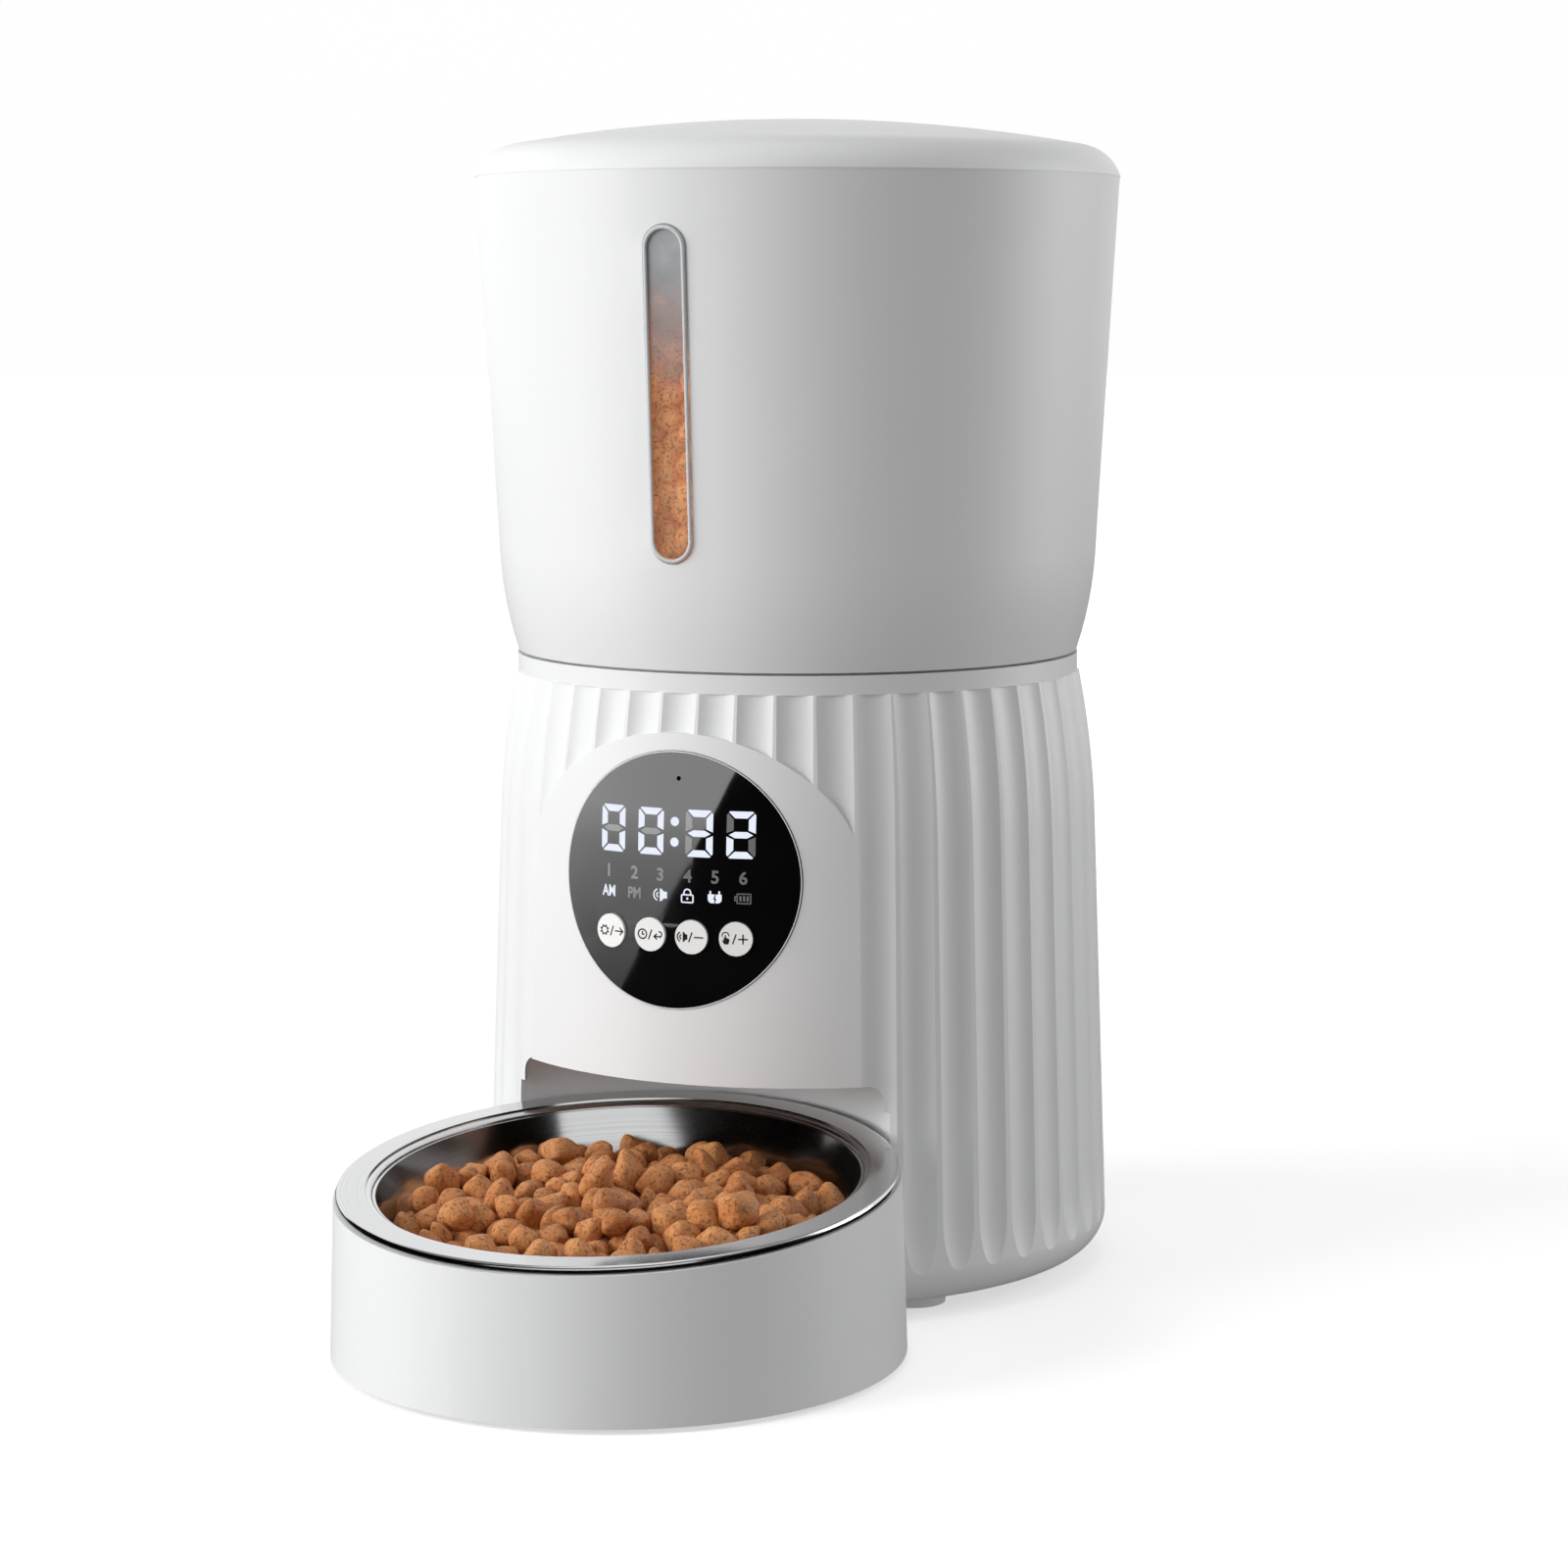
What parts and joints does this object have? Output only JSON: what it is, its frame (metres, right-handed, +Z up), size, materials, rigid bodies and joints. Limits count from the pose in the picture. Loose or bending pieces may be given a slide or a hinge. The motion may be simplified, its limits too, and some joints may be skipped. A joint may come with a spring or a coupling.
{
  "type": "automatic pet feeder",
  "caption": "Round automatic pet feeder: lidded hopper on a fluted base with a clock display, and a tray with a steel bowl in front.",
  "frame": {"origin": "on the floor under the middle of the whole feeder's box", "axes": "+X to the feeder's right as one faces its display, +Y from the bowl to the back, +Z up"},
  "size_m": [0.2, 0.3154, 0.3575],
  "materials": {
    "white_plastic": "satin",
    "grey_plastic": "satin",
    "dark_plastic": "matt",
    "black_gloss": "gloss",
    "button_white": "satin",
    "clear_plastic": "clear",
    "gear_plastic": "satin",
    "board_green": "satin",
    "silicone": "matt",
    "pale_rubber": "matt",
    "bowl_steel": "polished",
    "shaft_steel": "ground",
    "screw_steel": "plated",
    "plated_metal": "plated"
  },
  "bodies": {
    "base": {"base_shell": "white_plastic", "dock_wall": "white_plastic", "chute": "white_plastic", "bottom_cover": "white_plastic", "cover_screws": "screw_steel", "rubber_feet": "pale_rubber", "speaker": "dark_plastic", "display_lens": "black_gloss", "keypad": "silicone", "display_board": "board_green", "digit_module": "dark_plastic", "microphone": "plated_metal", "base_deck": "white_plastic", "idler_pin": "shaft_steel", "gearbox_case": "dark_plastic", "gearbox_cover": "dark_plastic", "gearbox_screws": "screw_steel", "motor": "plated_metal", "main_board": "board_green", "battery_box": "dark_plastic", "battery_contacts": "plated_metal", "power_jack": "dark_plastic", "jack_pin": "plated_metal", "food_sensors": "dark_plastic"},
    "hopper": {"hopper_shell": "white_plastic", "level_window": "clear_plastic", "hopper_floor": "white_plastic", "floor_screws": "screw_steel", "outlet_cover": "white_plastic", "silicone_wipers": "silicone"},
    "rotor": {"rotor": "grey_plastic", "stirrer": "silicone"},
    "output_drive": {"output_gear": "gear_plastic", "drive_shaft": "shaft_steel"},
    "idler": {"idler_gear": "gear_plastic"},
    "motor_spindle": {"motor_pinion": "gear_plastic"},
    "lid": {"lid": "white_plastic", "lid_seal": "silicone", "desiccant_box": "grey_plastic"},
    "desiccant_cover": {"desiccant_cover": "grey_plastic"},
    "button_settings": {"button_settings": "button_white"},
    "button_clock": {"button_clock": "button_white"},
    "button_record": {"button_record": "button_white"},
    "button_feed": {"button_feed": "button_white"},
    "battery_door": {"battery_door": "white_plastic"},
    "tray": {"bowl_tray": "white_plastic", "tray_base": "white_plastic", "tray_pads": "pale_rubber"},
    "bowl": {"steel_bowl": "bowl_steel"}
  },
  "joints": [
    {"name": "hopper_lift", "type": "slide", "parent": "base", "child": "hopper", "axis": [0, 0, 1], "range_m": [0, 0.08]},
    {"name": "lid_lift", "type": "slide", "parent": "hopper", "child": "lid", "axis": [0, 0, 1], "range_m": [0, 0.06]},
    {"name": "desiccant_twist", "type": "hinge", "parent": "lid", "child": "desiccant_cover", "pos_m": [0, 0.05775, 0.337], "axis": [0, 0, 1], "range_deg": [0, 25]},
    {"name": "rotor_spin", "type": "hinge", "parent": "hopper", "child": "rotor", "pos_m": [0, 0.05775, 0.178], "axis": [0, 0, 1], "continuous": true},
    {"name": "output_spin", "type": "hinge", "parent": "base", "child": "output_drive", "pos_m": [0, 0.05775, 0.141], "axis": [0, 0, 1], "continuous": true},
    {"name": "idler_spin", "type": "hinge", "parent": "base", "child": "idler", "pos_m": [0, 0.08175, 0.134], "axis": [0, 0, 1], "continuous": true},
    {"name": "motor_spin", "type": "hinge", "parent": "base", "child": "motor_spindle", "pos_m": [0, 0.10575, 0.134], "axis": [0, 0, 1], "continuous": true},
    {"name": "press_settings", "type": "slide", "parent": "base", "child": "button_settings", "axis": [0.2147, 0.9767, 0], "range_m": [0, 0.0006], "stiffness_N_per_m": 300},
    {"name": "press_clock", "type": "slide", "parent": "base", "child": "button_clock", "axis": [0.0724, 0.9974, 0], "range_m": [0, 0.0006], "stiffness_N_per_m": 300},
    {"name": "press_record", "type": "slide", "parent": "base", "child": "button_record", "axis": [-0.068, 0.9977, 0], "range_m": [0, 0.0006], "stiffness_N_per_m": 300},
    {"name": "press_feed", "type": "slide", "parent": "base", "child": "button_feed", "axis": [-0.2096, 0.9778, 0], "range_m": [0, 0.0006], "stiffness_N_per_m": 300},
    {"name": "battery_door_hinge", "type": "hinge", "parent": "base", "child": "battery_door", "pos_m": [0, 0.064, 0.004], "axis": [-1, 0, 0], "range_deg": [0, 75]},
    {"name": "tray_slide", "type": "slide", "parent": "base", "child": "tray", "axis": [0, -1, 0], "range_m": [0, 0.1]},
    {"name": "bowl_lift", "type": "slide", "parent": "tray", "child": "bowl", "axis": [0, -0.0924, 0.9957], "range_m": [0, 0.009]}
  ],
  "couplings": [
    {"joint": "output_spin", "follows": "rotor_spin", "ratio": 1},
    {"joint": "idler_spin", "follows": "rotor_spin", "ratio": -3},
    {"joint": "motor_spin", "follows": "rotor_spin", "ratio": 9}
  ]
}
